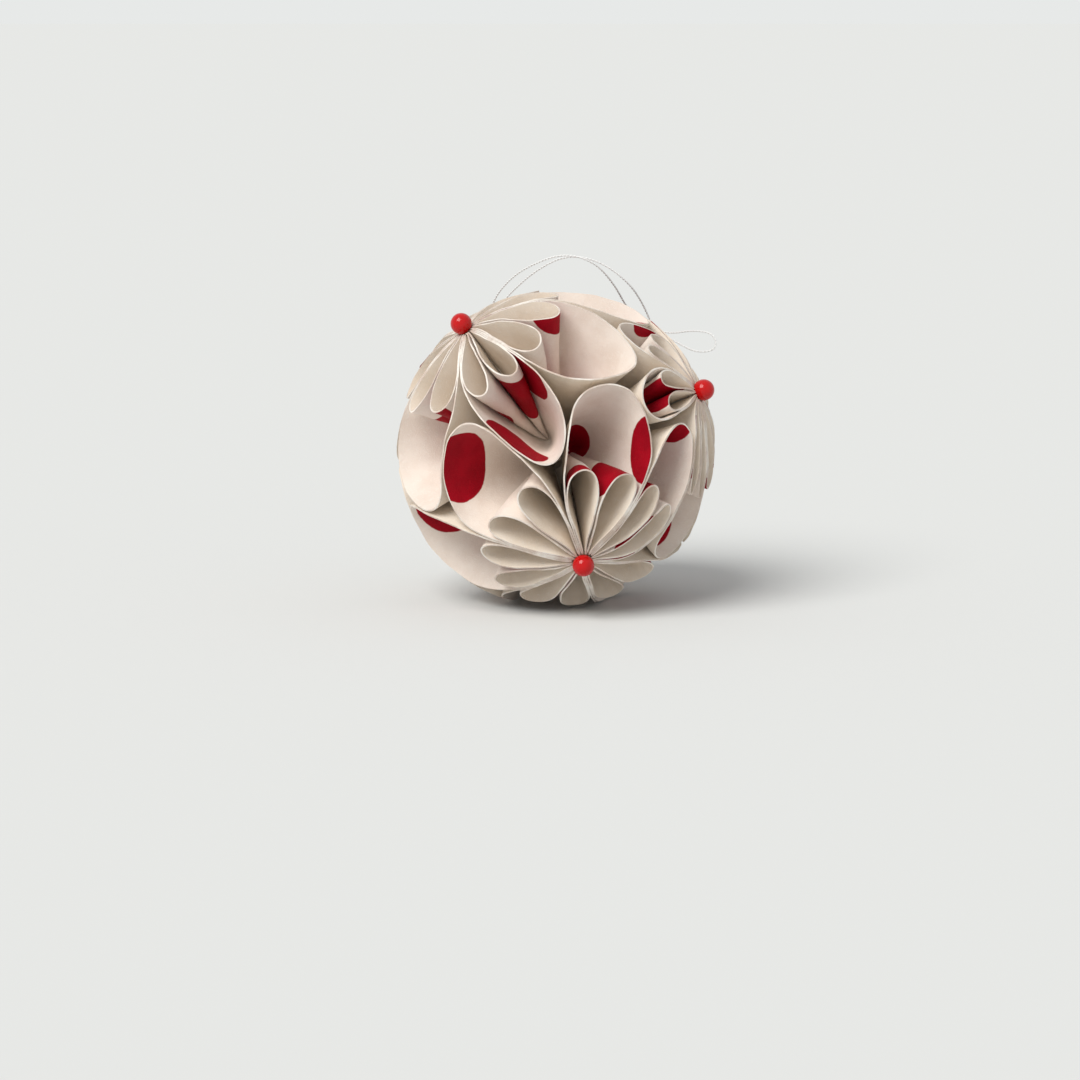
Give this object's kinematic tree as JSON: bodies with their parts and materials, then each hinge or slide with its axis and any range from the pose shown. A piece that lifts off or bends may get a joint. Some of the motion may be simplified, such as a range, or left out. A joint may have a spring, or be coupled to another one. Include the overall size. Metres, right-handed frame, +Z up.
{
  "type": "kusudama paper ball",
  "caption": "Hanging paper ball of folded round sheets, each a wide cup with two small loops, gathered in flowers round ball-headed pins, with a thread loop",
  "frame": {"origin": "bottom centre of the ball's bounding box, without the thread", "axes": "+Z up; -Y is the side that the picture shows; +X is to its right"},
  "size_m": [0.0756, 0.075, 0.0815],
  "materials": {
    "paper": "matte",
    "pin_head": "gloss",
    "pin_shaft": "satin",
    "thread": "matte"
  },
  "bodies": {
    "root": {"upper_petal_1": "paper", "upper_petal_2": "paper", "upper_petal_3": "paper", "upper_petal_4": "paper", "upper_petal_5": "paper", "upper_petal_6": "paper", "front_petal_1": "paper", "front_petal_2": "paper", "front_petal_3": "paper", "front_petal_4": "paper", "front_petal_5": "paper", "front_petal_6": "paper", "right_petal_1": "paper", "right_petal_2": "paper", "right_petal_3": "paper", "right_petal_4": "paper", "right_petal_5": "paper", "right_petal_6": "paper", "back_petal_1": "paper", "back_petal_2": "paper", "back_petal_3": "paper", "back_petal_4": "paper", "back_petal_5": "paper", "back_petal_6": "paper", "upper_pin_head": "pin_head", "upper_pin_shaft": "pin_shaft", "front_pin_head": "pin_head", "front_pin_shaft": "pin_shaft", "right_pin_head": "pin_head", "right_pin_shaft": "pin_shaft", "back_pin_head": "pin_head", "back_pin_shaft": "pin_shaft", "hanging_thread": "thread"}
  },
  "joints": []
}
